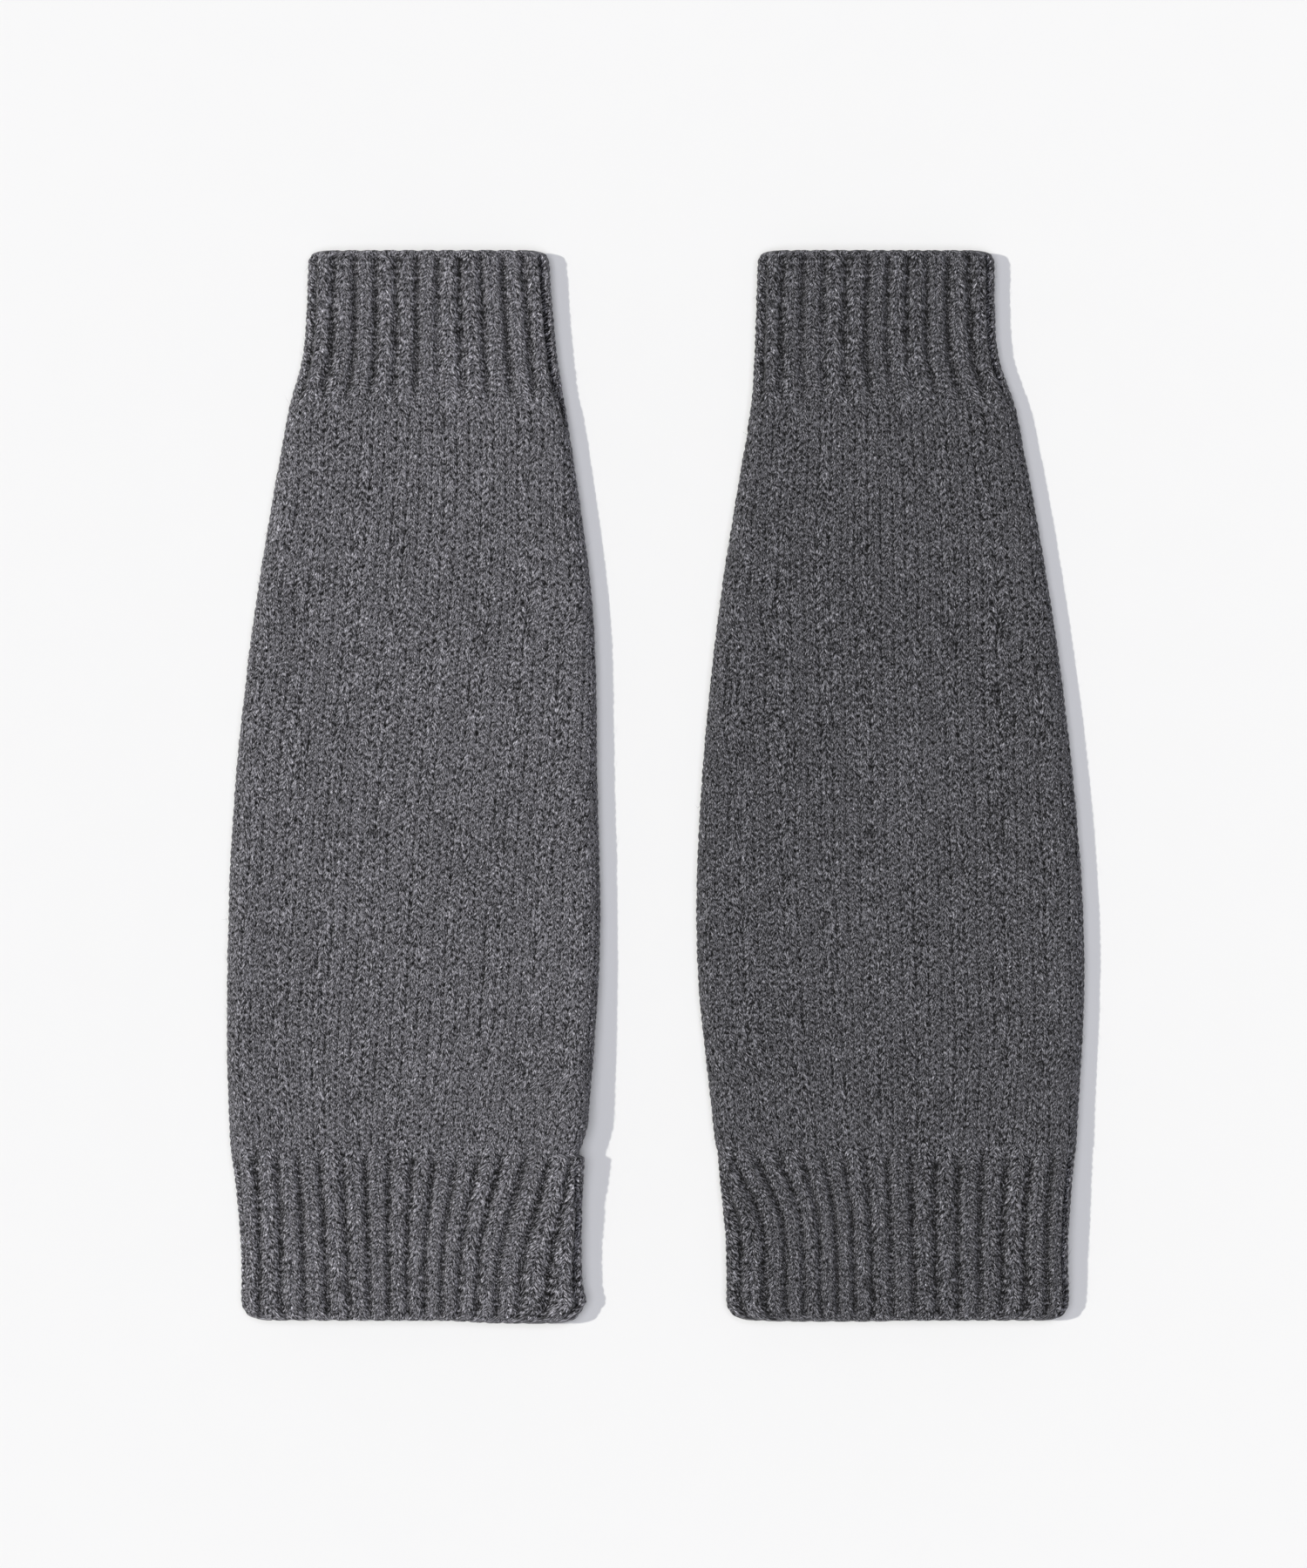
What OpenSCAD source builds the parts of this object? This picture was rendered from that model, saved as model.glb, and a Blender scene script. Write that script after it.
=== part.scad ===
// A pair of knitted fingerless gloves, laid flat side by side with their hand edges towards +Y.
// Each glove is one flattened tube: a ribbed hand cuff, a plain body and a ribbed arm cuff.
// The back layer lies on z = 0 and the front layer lies over it. They meet at the side folds.

/* [Length] */
// Whole length of a glove, from its hand edge to its arm edge
glove_len = 320; // [280:1:360]
// Length of the ribbed hand cuff
hand_cuff_len = 46; // [36:1:56]
// Length of the ribbed arm cuff
arm_cuff_len = 52; // [42:1:62]

/* [Width laid flat] */
// Width of the hand edge
hand_edge_w = 71; // [60:1:85]
// Width where the hand cuff runs into the body
hand_cuff_w = 81; // [70:1:95]
// Width of the body a third of the way down
upper_body_w = 100; // [90:1:110]
// Width of the body at its widest place
body_w = 113; // [105:1:125]
// Width where the body runs into the arm cuff
arm_cuff_w = 107; // [98:1:115]
// Width of the arm edge
arm_edge_w = 102.5; // [90:0.5:110]

/* [Fabric] */
// Thickness of one layer of knitting
knit_t = 3; // [2:0.1:3.5]
// Height of the hollow between the two layers
hollow_h = 5.8; // [4.8:0.1:8]
// How much higher the front layer lies along its middle than at its sides
crown = 0.8; // [0:0.1:2]
// Gap between the two layers along the side folds
fold_gap = 0.3; // [0.1:0.1:0.6]

/* [Edges] */
// Radius of the rounded corners at the hand edge, seen from above
hand_corner_r = 4; // [2:0.5:6]
// Radius of the rounded corners at the arm edge, seen from above
arm_corner_r = 6; // [3:0.5:8]
// How much of the thickness each rim loses on each face as it rounds off
rim_round = 0.9; // [0.3:0.1:1.1]

/* [Side seam] */
// Width of the seam allowance inside the tube
seam_w = 4; // [2:0.5:6]
// Height of the seam allowance inside the tube
seam_h = 2; // [1:0.1:2.2]

/* [Pair] */
// Distance between the two gloves' centre lines near the hand edge
pair_pitch = 133.7; // [125:0.1:180]
// How much further apart the centre lines are at the arm edge
pair_splay = 11.3; // [0:0.1:16]
// How much wider the right glove's body lies than the left one's
right_swell = 4; // [0:0.5:6]

/* [Hidden] */

BACK = -1;
FRONT = 1;
LEFT = -1;
RIGHT = 1;

body_grey = "#5f5e62";
rib_grey = "#57565a";
edge_grey = "#4d4c50";
seam_grey = "#454448";

layer_h = knit_t + hollow_h / 2;   // height of the fold's middle above the face below
fold_r = layer_h;                  // outer radius of the side folds
arc_steps = 4;                     // facets of a quarter turn at a fold
flat_steps = 6;                    // facets across the flat of a layer
ring_step = 16;                    // longest stretch between two cross-sections
rim_steps = 3;                     // facets of a rim's rounded corner
skin = 0.05;                       // clearance of the seam over the fabric that it lies on

hand_y = glove_len / 2;
arm_y = -glove_len / 2;
hand_rib_y = hand_y - hand_cuff_len;
arm_rib_y = arm_y + arm_cuff_len;
hand_rim_y = hand_y - hand_corner_r;
arm_rim_y = arm_y + arm_corner_r;

// Each glove's outline, from the hand edge to the arm edge:
// [distance from the hand edge, centre line's drift as a share of the splay, width]
left_outline = [
    [0, 0.2, hand_edge_w + 0.5],
    [30, 0.13, hand_edge_w + 4.5],
    [hand_cuff_len, 0.26, hand_cuff_w + 1],
    [glove_len / 3, 0.45, upper_body_w + 0.5],
    [glove_len / 2, 0.86, body_w - 5],
    [glove_len * 0.66, 1, body_w - 2],
    [glove_len - arm_cuff_len - 6, 1.26, arm_cuff_w],
    [glove_len - arm_cuff_len / 2, 1.14, arm_edge_w - 0.5],
    [glove_len, 1.04, arm_edge_w]
];
right_outline = [
    [0, -0.18, hand_edge_w - 0.5],
    [30, -0.18, hand_edge_w + 1.5],
    [hand_cuff_len, 0.17, hand_cuff_w - 2.5],
    [glove_len / 3, 0.31, upper_body_w - 1],
    [glove_len / 2, 0.43, body_w + right_swell - 6],
    [glove_len * 0.66, 0.6, body_w + right_swell - 1.5],
    [glove_len - arm_cuff_len - 6, 0.84, arm_cuff_w + 1.5],
    [glove_len - arm_cuff_len / 2, 0.9, arm_edge_w],
    [glove_len, 0.98, arm_edge_w]
];

// A smooth curve through column k of an outline, at distance s from the hand edge
function slope(line, i, k) =
    let (a = line[max(i - 1, 0)], b = line[min(i + 1, len(line) - 1)])
    (b[k] - a[k]) / (b[0] - a[0]);
function stretch_at(line, s, i = 0) =
    i >= len(line) - 2 || s <= line[i + 1][0] ? i : stretch_at(line, s, i + 1);
function along(line, s, k) =
    let (
        i = stretch_at(line, s),
        h = line[i + 1][0] - line[i][0],
        u = (s - line[i][0]) / h,
        rise = line[i + 1][k] - line[i][k],
        m0 = slope(line, i, k) * h - rise,
        m1 = rise - slope(line, i + 1, k) * h
    )
    line[i][k] + u * rise + u * (1 - u) * (m0 * (1 - u) + m1 * u);

function outline_of(side) = side == LEFT ? left_outline : right_outline;
function half_w(side, y) = along(outline_of(side), hand_y - y, 2) / 2;
function raw_x(side, y) =
    side * (pair_pitch + pair_splay * along(outline_of(side), hand_y - y, 1)) / 2;

// The pair is centred on x = 0
outline_samples = [for (y = [hand_y : -2 : arm_y]) y];
left_reach = min([for (y = outline_samples) raw_x(LEFT, y) - half_w(LEFT, y)]);
right_reach = max([for (y = outline_samples) raw_x(RIGHT, y) + half_w(RIGHT, y)]);
function centre_x(side, y) = raw_x(side, y) - (left_reach + right_reach) / 2;

// One face of a layer at y, from its left fold to its right fold. depth is how far the face lies
// inside the glove's outer face, and inset is how far the outline is drawn in at a rounded corner.
function face_points(side, layer, y, depth, inset) =
    let (
        flat = half_w(side, y) - inset - fold_r,
        rx = fold_r - depth,
        rz = layer_h - fold_gap / 2 - depth,
        z0 = layer_h + layer * fold_gap / 2,
        rise = layer == FRONT ? crown : 0,
        arc = [for (i = [0 : arc_steps]) 90 * i / arc_steps],
        left = [for (a = arc) [-flat - rx * cos(a), rz * sin(a)]],
        middle = [
            for (i = [1 : flat_steps - 1])
            let (x = flat * (2 * i / flat_steps - 1))
            [x, rz + rise * (1 - pow(x / flat, 2))]
        ],
        right = [for (i = [arc_steps : -1 : 0]) [flat + rx * cos(arc[i]), rz * sin(arc[i])]]
    )
    [for (p = concat(left, middle, right)) [centre_x(side, y) + p[0], y, z0 + layer * p[1]]];

// One closed cross-section: the outer face's points, then the inner face's
function section(side, layer, y, inset = 0, thinner = 0) = concat(
    face_points(side, layer, y, thinner, inset),
    face_points(side, layer, y, knit_t - thinner, inset)
);

// A solid through cross-sections of paired outer and inner points, running towards -Y
module loft(sections, layer) {
    n = len(sections[0]) / 2;
    rings = len(sections);
    row = 2 * n;
    outer = [
        for (r = [0 : rings - 2], i = [0 : n - 2])
        [r * row + i, r * row + i + 1, (r + 1) * row + i + 1, (r + 1) * row + i]
    ];
    inner = [
        for (r = [0 : rings - 2], i = [n : row - 2])
        [r * row + i, (r + 1) * row + i, (r + 1) * row + i + 1, r * row + i + 1]
    ];
    folds = [
        for (r = [0 : rings - 2])
        each [
            [r * row, (r + 1) * row, (r + 1) * row + n, r * row + n],
            [r * row + n - 1, (r + 1) * row - 1, (r + 2) * row - 1, (r + 1) * row + n - 1]
        ]
    ];
    last = (rings - 1) * row;
    ends = [
        for (i = [0 : n - 2])
        each [
            [i, n + i, n + i + 1, i + 1],
            [last + i, last + i + 1, last + n + i + 1, last + n + i]
        ]
    ];
    quads = concat(outer, inner, folds, ends);
    triangles = [for (q = quads) each [[q[0], q[1], q[2]], [q[0], q[2], q[3]]]];
    facing_out = layer == FRONT ? triangles : [for (t = triangles) [t[0], t[2], t[1]]];
    polyhedron(points = [for (s = sections) each s], faces = facing_out, convexity = 6);
}

// One layer of a stretch of the tube, between y_from and the lower y_to
module stretch(side, layer, y_from, y_to) {
    steps = ceil((y_from - y_to) / ring_step);
    loft([for (i = [0 : steps]) section(side, layer, y_from + (y_to - y_from) * i / steps)], layer);
}

// One layer of a rim. Its corners are rounded seen from above and its lip thins to a soft edge.
// out is 1 for the hand edge, which faces +Y, and -1 for the arm edge.
module rim(side, layer, y_base, corner_r, out) {
    turns = [for (i = [0 : rim_steps]) 90 * (out > 0 ? rim_steps - i : i) / rim_steps];
    loft(
        [
            for (a = turns)
            section(
                side, layer, y_base + out * corner_r * sin(a),
                corner_r * (1 - cos(a)), rim_round * (1 - cos(a))
            )
        ],
        layer
    );
}

// The seam allowance: a low rounded strip on the back layer's inner face, along the fold that is
// nearer to the other glove
module seam_strip(side) {
    steps = ceil((hand_rim_y - arm_rim_y) / ring_step);
    shape = [
        [0, 0], [seam_w, 0], [seam_w, seam_h * 0.6],
        [seam_w * 0.75, seam_h], [seam_w * 0.25, seam_h], [0, seam_h * 0.6]
    ];
    loops = [
        for (i = [0 : steps])
        let (
            y = hand_rim_y + (arm_rim_y - hand_rim_y) * i / steps,
            x = centre_x(side, y) - side * (half_w(side, y) - fold_r) - (side == LEFT ? seam_w : 0)
        )
        [for (p = shape) [x + p[0], y, knit_t + skin + p[1]]]
    ];
    n = len(shape);
    walls = [
        for (r = [0 : steps - 1], i = [0 : n - 1])
        let (a = r * n + i, b = r * n + (i + 1) % n)
        each [[a, b + n, b], [a, a + n, b + n]]
    ];
    caps = [
        [for (i = [0 : n - 1]) i],
        [for (i = [n - 1 : -1 : 0]) steps * n + i]
    ];
    polyhedron(points = [for (l = loops) each l], faces = concat(walls, caps), convexity = 4);
}

module hand_edge(side, layer) {
    color(edge_grey) rim(side, layer, hand_rim_y, hand_corner_r, 1);
}

module hand_cuff(side, layer) {
    color(rib_grey) stretch(side, layer, hand_rim_y, hand_rib_y);
}

module glove_body(side, layer) {
    color(body_grey) stretch(side, layer, hand_rib_y, arm_rib_y);
}

module arm_cuff(side, layer) {
    color(rib_grey) stretch(side, layer, arm_rib_y, arm_rim_y);
}

module arm_edge(side, layer) {
    color(edge_grey) rim(side, layer, arm_rim_y, arm_corner_r, -1);
}

module side_seam(side) {
    color(seam_grey) seam_strip(side);
}

hand_edge(LEFT, BACK);  // left_hand_edge_back
hand_edge(LEFT, FRONT);  // left_hand_edge_front
hand_cuff(LEFT, BACK);  // left_hand_cuff_back
hand_cuff(LEFT, FRONT);  // left_hand_cuff_front
glove_body(LEFT, BACK);  // left_body_back
glove_body(LEFT, FRONT);  // left_body_front
arm_cuff(LEFT, BACK);  // left_arm_cuff_back
arm_cuff(LEFT, FRONT);  // left_arm_cuff_front
arm_edge(LEFT, BACK);  // left_arm_edge_back
arm_edge(LEFT, FRONT);  // left_arm_edge_front
side_seam(LEFT);  // left_side_seam
hand_edge(RIGHT, BACK);  // right_hand_edge_back
hand_edge(RIGHT, FRONT);  // right_hand_edge_front
hand_cuff(RIGHT, BACK);  // right_hand_cuff_back
hand_cuff(RIGHT, FRONT);  // right_hand_cuff_front
glove_body(RIGHT, BACK);  // right_body_back
glove_body(RIGHT, FRONT);  // right_body_front
arm_cuff(RIGHT, BACK);  // right_arm_cuff_back
arm_cuff(RIGHT, FRONT);  // right_arm_cuff_front
arm_edge(RIGHT, BACK);  // right_arm_edge_back
arm_edge(RIGHT, FRONT);  // right_arm_edge_front
side_seam(RIGHT);  // right_side_seam
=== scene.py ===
"""A pair of knitted wool fingerless gloves lying flat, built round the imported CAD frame.

Every piece is a sheet of knitting whose stitches are real relief. A glove's outline, height and
folds are read from its CAD nodes. Lengths are in millimetres until a mesh is made.
"""

import math

import bpy
import numpy as np
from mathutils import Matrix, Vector


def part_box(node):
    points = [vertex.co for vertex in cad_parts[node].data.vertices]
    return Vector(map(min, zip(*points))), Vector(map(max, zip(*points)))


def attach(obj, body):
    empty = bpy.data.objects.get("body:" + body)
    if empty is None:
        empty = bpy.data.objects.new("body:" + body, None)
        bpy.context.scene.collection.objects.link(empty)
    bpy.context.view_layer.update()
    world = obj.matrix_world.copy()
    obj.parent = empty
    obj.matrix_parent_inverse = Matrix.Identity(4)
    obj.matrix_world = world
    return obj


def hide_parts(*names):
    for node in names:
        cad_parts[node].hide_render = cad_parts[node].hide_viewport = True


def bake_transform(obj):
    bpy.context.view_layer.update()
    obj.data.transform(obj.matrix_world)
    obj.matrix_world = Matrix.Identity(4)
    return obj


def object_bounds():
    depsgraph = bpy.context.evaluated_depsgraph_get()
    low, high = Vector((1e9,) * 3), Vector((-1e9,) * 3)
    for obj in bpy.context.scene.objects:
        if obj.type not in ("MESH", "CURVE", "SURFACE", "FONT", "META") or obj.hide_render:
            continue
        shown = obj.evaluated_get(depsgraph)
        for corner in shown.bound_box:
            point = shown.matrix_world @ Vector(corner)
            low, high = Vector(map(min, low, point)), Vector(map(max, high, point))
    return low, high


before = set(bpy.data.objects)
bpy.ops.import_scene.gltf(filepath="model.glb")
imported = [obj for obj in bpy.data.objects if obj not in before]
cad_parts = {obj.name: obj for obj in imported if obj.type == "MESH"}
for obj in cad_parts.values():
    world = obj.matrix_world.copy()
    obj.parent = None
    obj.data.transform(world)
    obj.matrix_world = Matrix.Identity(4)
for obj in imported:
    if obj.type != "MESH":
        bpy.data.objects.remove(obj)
cad_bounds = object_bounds()

MM = 0.001
SIDES = ("left", "right")
PARTS = ("hand_edge", "hand_cuff", "body", "arm_cuff", "arm_edge")

# The knitting
KNIT_T = 3.0            # thickness of one layer
RIB_COURSE = 2.2        # height of a row in the ribs
PLAIN_COURSE = 2.5      # height of a row in the plain body
PLAIN_WALE = 3.85       # width of a plain stitch along the middle of the body
RIB_WALE = 3.3          # width of a rib's knit stitch, or of the purl stitch beside it
HAND_STITCHES = 12.5    # stitches from the middle of a layer to its fold, in the hand cuff
ARM_STITCHES = 16.5     # the same in the arm cuff
PLAIN_RELIEF = 1.05     # depth of the gaps between plain stitches
RIB_RELIEF = 2.4        # depth of the channels between ribs
PROUD = 0.35            # how far the highest stitches stand out of the CAD outline
PLAIN_LEAN = 25         # slant of a plain stitch's two legs, in degrees from the wale
RIB_LEAN = 34           # slant of a rib stitch's two legs
RIB_SHARE = 0.72        # share of a rib's width that its raised column takes
COLUMN_WIDTH = 2 * RIB_WALE * RIB_SHARE

# A stitch's leg: how far out its middle lies, in wales, and half its width and length
PLAIN_LEG = (0.228, 0.93, 2.05)
RIB_LEG = (0.25, 1.0, 1.75)
LEG_STRAY = (0.2, 0.35)         # how widely the legs stray, across the wale and along it
DICE_SIZE = 256                 # legs round, or courses, after which their random numbers repeat

# A rib's raised column, as shares of a rib's width, and how the channels beside it are filled
COLUMN_HALF = 0.492
COLUMN_SCALLOP = 0.035          # how far its sides bulge at each stitch
COLUMN_ROUNDING = 0.42          # a half would be an ellipse, and less is squarer
COLUMN_BODY, COLUMN_STITCH = 0.56, 0.44     # shares of its height that are solid and stitches
PURL_HEIGHT = 0.2
CHANNEL_FILL = (0.2, 0.34)      # how far the channels close here and there, at the arm and the hand

# The slow random waves of the cloth: how far they swing, and their wavelength
SAG = (0.55, 70)        # the front's height
WANDER = (0.55, 42)     # the wales, sideways
BOW = (0.7, 95)         # the courses, along the glove

# Where the knitting changes
HAND_EASE = 50          # the plain stitches reach their full width so far past the hand cuff
ARM_EASE = 42           # and start to narrow so far before the arm cuff
RIB_OVERLAP = 7         # the plain stitches start so far inside a cuff
RIB_FADE = 9            # and have taken over after so much
FOLD_WALES, FOLD_EASE = 7, 4    # wales start to follow a fold 7 inside it, and all do 4 further out

# How finely a layer is cut into faces: columns to a stitch and rows to a course
FRONT_DETAIL = (8, 6)
BACK_DETAIL = (4, 4)
PLAIN_RATIO, RIB_RATIO = 8, 4   # outer faces to an inner one, each way

# Small dents and bumps in the left glove's right fold: where, reach up and down, and how far out
FOLD_MARKS = {"left": ((-110.3, 9.0, 0.9, -1.9), (-154.0, 5.0, 2.0, 1.0)), "right": ()}
MARK_WIDTH = 9          # they fade away over so much inside the fold

# A line pressed just inside the right fold: where it starts and ends, and how far in it lies there
CREASES = {"left": ((160.0, 106.0, 2.6, 0.5), (-113.0, -136.0, 2.2, 0.8)), "right": ()}
# The crease's depth also darkens the wool along it with painted shade, through the lift that the
# material reads
CREASE_DEPTH, CREASE_WIDTH = 1.5, 0.45
CREASE_ENDS = (0.1, 0.15)       # shares of its length over which it fades in and out

# How far the right fold curls up off the floor, where, and over what length
CURL = {"left": (3.6, -106.0, 42.0), "right": (2.6, -133.0, 24.0)}
CURL_INSET, CURL_WIDTH = 18, 24     # it starts so far inside the fold, and rises over so much

# How far a stretch of the arm edge hangs past the rest, in which layers, where and how wide
EDGE_DROP = {"left": (0.9, (-1, 1), 36.0, 20.0), "right": (0.9, (-1,), -20.0, 26.0)}
DROP_START, DROP_LENGTH = 8, 9      # it starts so far above the edge, and grows over so much

# How far the wales of each glove lean round the tube, from the hand cuff to the arm cuff
TWIST = {"left": -9.0, "right": 1.5}

# The ribs of an arm cuff that swing aside towards its edge: how far, round which distance from the
# front's middle, over what width, and in what height
SWAY = {"left": (-8.5, 28.0, 25.0, 52.0), "right": (8.4, -40.0, 22.0, 32.0)}
SWAY_START = 5          # it starts so far above the arm cuff


# ---------------- curves and smooth random fields

def smooth_step(t):
    """Rises from 0 to 1 as t does, level at both ends."""
    t = np.clip(t, 0, 1)
    return t * t * (3 - 2 * t)


def mix(a, b, t):
    """The value at share t of the way from a to b."""
    return a + (b - a) * t


def smooth_curve(xs, values, x):
    """A smooth curve through the points (xs, values), with xs rising, held level past its ends."""
    x = np.clip(x, xs[0], xs[-1])
    slopes = np.gradient(values, xs)
    i = np.clip(np.searchsorted(xs, x) - 1, 0, len(xs) - 2)
    h = xs[i + 1] - xs[i]
    t = (x - xs[i]) / h
    rise = values[i + 1] - values[i]
    bend = (slopes[i] * h - rise) * (1 - t) + (rise - slopes[i + 1] * h) * t
    return values[i] + t * rise + t * (1 - t) * bend


def waves(x, y, wavelength, seed):
    """A smooth random field between about -1 and 1, as a sum of sine waves."""
    rng = np.random.default_rng(seed)
    count, swing = 7, 1.9       # the waves seldom meet, so their mean is scaled up by swing
    total = 0
    for _ in range(count):
        angle = rng.uniform(0, math.tau)
        k = math.tau / (wavelength * rng.uniform(0.7, 1.5))
        along = x * math.cos(angle) + y * math.sin(angle)
        total = total + np.sin(k * along + rng.uniform(0, math.tau))
    return total / count * swing


# ---------------- one glove

def node_points(name):
    """A CAD node's vertices, in millimetres."""
    co = np.zeros(len(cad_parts[name].data.vertices) * 3, np.float32)
    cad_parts[name].data.vertices.foreach_get("co", co)
    return co.reshape(-1, 3).astype(float) / MM


class Glove:
    """One glove's outline, section and stitches."""

    def __init__(self, side):
        self.side = side
        self.seed = 11 + 100 * SIDES.index(side)
        self.dice = np.random.default_rng(self.seed).random((3, DICE_SIZE, DICE_SIZE))
        self.hand_rim_y, self.hand_y = self.ends("hand_edge")
        self.arm_rib_y, self.hand_rib_y = self.ends("body")
        self.arm_y, self.arm_rim_y = self.ends("arm_edge")
        self.read_heights()
        self.read_outline()
        self.plain_start = self.reach(self.hand_rib_y) / HAND_STITCHES
        self.plain_end = self.reach(self.arm_rib_y) / ARM_STITCHES

    def ends(self, part):
        """A part's two ends along the glove, the one nearer the arm first."""
        return [corner.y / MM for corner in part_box(f"{self.side}_{part}_back")]

    def read_heights(self):
        """The height of the folds' middle, and how much higher the front's middle is."""
        back_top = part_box(f"{self.side}_body_back")[1].z / MM
        front_low, front_top = (c.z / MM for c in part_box(f"{self.side}_body_front"))
        self.fold_z = (back_top + front_low) / 2
        self.crown = front_top - 2 * self.fold_z

    def read_outline(self):
        """The glove's two sides, at each ring of points along it."""
        points = np.concatenate([node_points(f"{self.side}_{p}_back") for p in PARTS[1:-1]])
        rings = np.unique(np.round(points[:, 1], 2))
        at_ring = [points[abs(points[:, 1] - y) < 0.02][:, 0] for y in rings]
        self.ring_y = rings
        self.ring_low = np.array([x.min() for x in at_ring])
        self.ring_high = np.array([x.max() for x in at_ring])

    # The outline and the section

    def corner_inset(self, y):
        """How far the rounded corners draw the outline in."""
        past_hand = np.clip(y - self.hand_rim_y, 0, None)
        past_arm = np.clip(self.arm_rim_y - y, 0, None)
        hand_r = self.hand_y - self.hand_rim_y
        arm_r = self.arm_rim_y - self.arm_y
        hand = hand_r - np.sqrt(np.clip(hand_r**2 - past_hand**2, 0, None))
        arm = arm_r - np.sqrt(np.clip(arm_r**2 - past_arm**2, 0, None))
        return hand + arm

    def sides(self, y):
        """The outline's left and right, before its corners are rounded."""
        return [smooth_curve(self.ring_y, x, y) for x in (self.ring_low, self.ring_high)]

    def centre(self, y):
        """The middle of the glove's width."""
        low, high = self.sides(y)
        return (low + high) / 2

    def half(self, y):
        """Half the glove's width."""
        low, high = self.sides(y)
        return (high - low) / 2 - self.corner_inset(y)

    def reach(self, y):
        """Distance along the cloth from the middle of a layer to the middle of its fold."""
        return self.half(y) - self.fold_z + self.fold_z * math.pi / 2

    def fold_mark(self, y):
        """How far out the right fold stands of its smooth line."""
        out = np.zeros_like(y)
        for at, above, below, far in FOLD_MARKS[self.side]:
            out += far * np.clip(1 - np.where(y > at, (y - at) / above, (at - y) / below), 0, None)
        return out

    def curl(self, s, y):
        """How far the cloth is lifted off the floor towards the right fold."""
        high, at, length = CURL[self.side]
        near = smooth_step((s - self.half(y) + self.fold_z + CURL_INSET) / CURL_WIDTH)
        return high * np.exp(-((y - at) / length) ** 2) * near

    def crease(self, s, y):
        """Depth of the lines pressed just inside the right fold."""
        r = self.fold_z
        from_edge = r * (1 - np.sin(np.clip((s - self.half(y) + r) / r, -1, math.pi / 2)))
        deep = np.zeros_like(from_edge)
        fade_in, fade_out = CREASE_ENDS
        for start, end, inset, end_inset in CREASES[self.side]:
            t = (start - y) / (start - end)
            here = smooth_step((1 - t) / fade_out) * smooth_step(t / fade_in)
            off = (from_edge - mix(inset, end_inset, t)) / CREASE_WIDTH
            deep = deep + CREASE_DEPTH * here * np.exp(-off ** 2)
        return deep

    def edge_drop(self, s, y, layer):
        """How far the cloth hangs past the rest of the arm edge."""
        far, layers, at, width = EDGE_DROP[self.side]
        if layer not in layers:
            return 0
        near = smooth_step((self.arm_rim_y + DROP_START - y) / DROP_LENGTH)
        return far * near * np.exp(-(((s - at) / width) ** 4))

    def surface(self, s, y, layer, depth):
        """Points depth below the outer face, s along the cloth from a layer's middle."""
        r = self.fold_z
        flat = self.half(y) - r
        turn = np.clip(abs(s) - flat, 0, None) / r
        dome = self.crown * np.clip(1 - (s / flat) ** 2, 0, None) if layer > 0 else 0
        low, wavelength = SAG
        sag = low * (waves(s, y, wavelength, self.seed + 5) - 1) * np.cos(turn) if layer > 0 else 0
        x = self.centre(y) + np.sign(s) * (np.minimum(abs(s), flat) + (r - depth) * np.sin(turn))
        x = x + self.fold_mark(y) * smooth_step((s - flat) / MARK_WIDTH + 1)
        z = np.maximum(self.fold_z + layer * ((r - depth) * np.cos(turn) + dome + sag), 0)
        z = z + self.curl(s, y)
        return np.stack([x, y - self.edge_drop(s, y, layer) + 0 * x, z], axis=-1)

    # The stitches

    def pitch(self, y):
        """Width of a stitch along the middle of a layer."""
        plain = mix(self.plain_start, PLAIN_WALE, smooth_step((self.hand_rib_y - y) / HAND_EASE))
        plain = mix(plain, self.plain_end, smooth_step((self.arm_rib_y + ARM_EASE - y) / ARM_EASE))
        reach = self.reach(y)
        in_hand = y >= self.hand_rib_y
        in_arm = y <= self.arm_rib_y
        return np.where(in_hand, reach / HAND_STITCHES, np.where(in_arm, reach / ARM_STITCHES, plain))

    def layer_wale(self, s, y):
        """Stitches from the middle of a layer. The outermost ones follow the fold, and where the layer
        has grown by a stitch they run off the fold over a few courses."""
        p, reach = self.pitch(y), self.reach(y)
        spare, whole = np.modf(reach / p - 0.5)
        at_fold = whole + 0.5 + smooth_step((spare - 0.25) / 0.5)
        by_edge = smooth_step((abs(s) - (reach - FOLD_WALES * p)) / (FOLD_EASE * p))
        return s / p + np.sign(s) * by_edge * (at_fold - reach / p)

    def sway(self, around, y):
        """How far the arm cuff's ribs swing aside."""
        far, at, width, height = SWAY[self.side]
        down = smooth_step((self.arm_rib_y + SWAY_START - y) / height)
        return far * down * np.exp(-((around - at) / width) ** 2)

    def lean(self, y):
        """How far the wales have leant round the tube."""
        plain = self.hand_rib_y - self.arm_rib_y
        return TWIST[self.side] * smooth_step((self.hand_rib_y - y) / plain)

    def wale(self, s, y, layer):
        """Stitches round the whole tube from the front's middle, with the wales' lean and wander."""
        reach = self.reach(y)
        around = s if layer > 0 else np.where(s >= 0, 2 * reach - s, -2 * reach - s)
        far, wavelength = WANDER
        wander = far * waves(around, y * 0.4, wavelength, self.seed + 1)
        around = around - self.lean(y) - self.sway(around, y) + wander
        around = (around + 2 * reach) % (4 * reach) - 2 * reach
        on_front = abs(around) <= reach
        back_s = np.sign(around) * (2 * reach - abs(around))
        front_u = self.layer_wale(np.clip(around, -reach, reach), y)
        back_u = np.sign(around) * 2 * HAND_STITCHES - self.layer_wale(back_s, y)
        return np.where(on_front, front_u, back_u)

    def course(self, s, y, run):
        """Courses from the hand edge. run is the distance along the cloth from the hand edge."""
        rib_run = self.hand_y - self.hand_rib_y
        plain_run = self.hand_rib_y - self.arm_rib_y
        far, wavelength = BOW
        along = run + far * waves(s, y, wavelength, self.seed + 2)
        ribs = np.minimum(along, rib_run) + np.clip(along - rib_run - plain_run, 0, None)
        return ribs / RIB_COURSE + np.clip(along - rib_run, 0, plain_run) / PLAIN_COURSE

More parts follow.
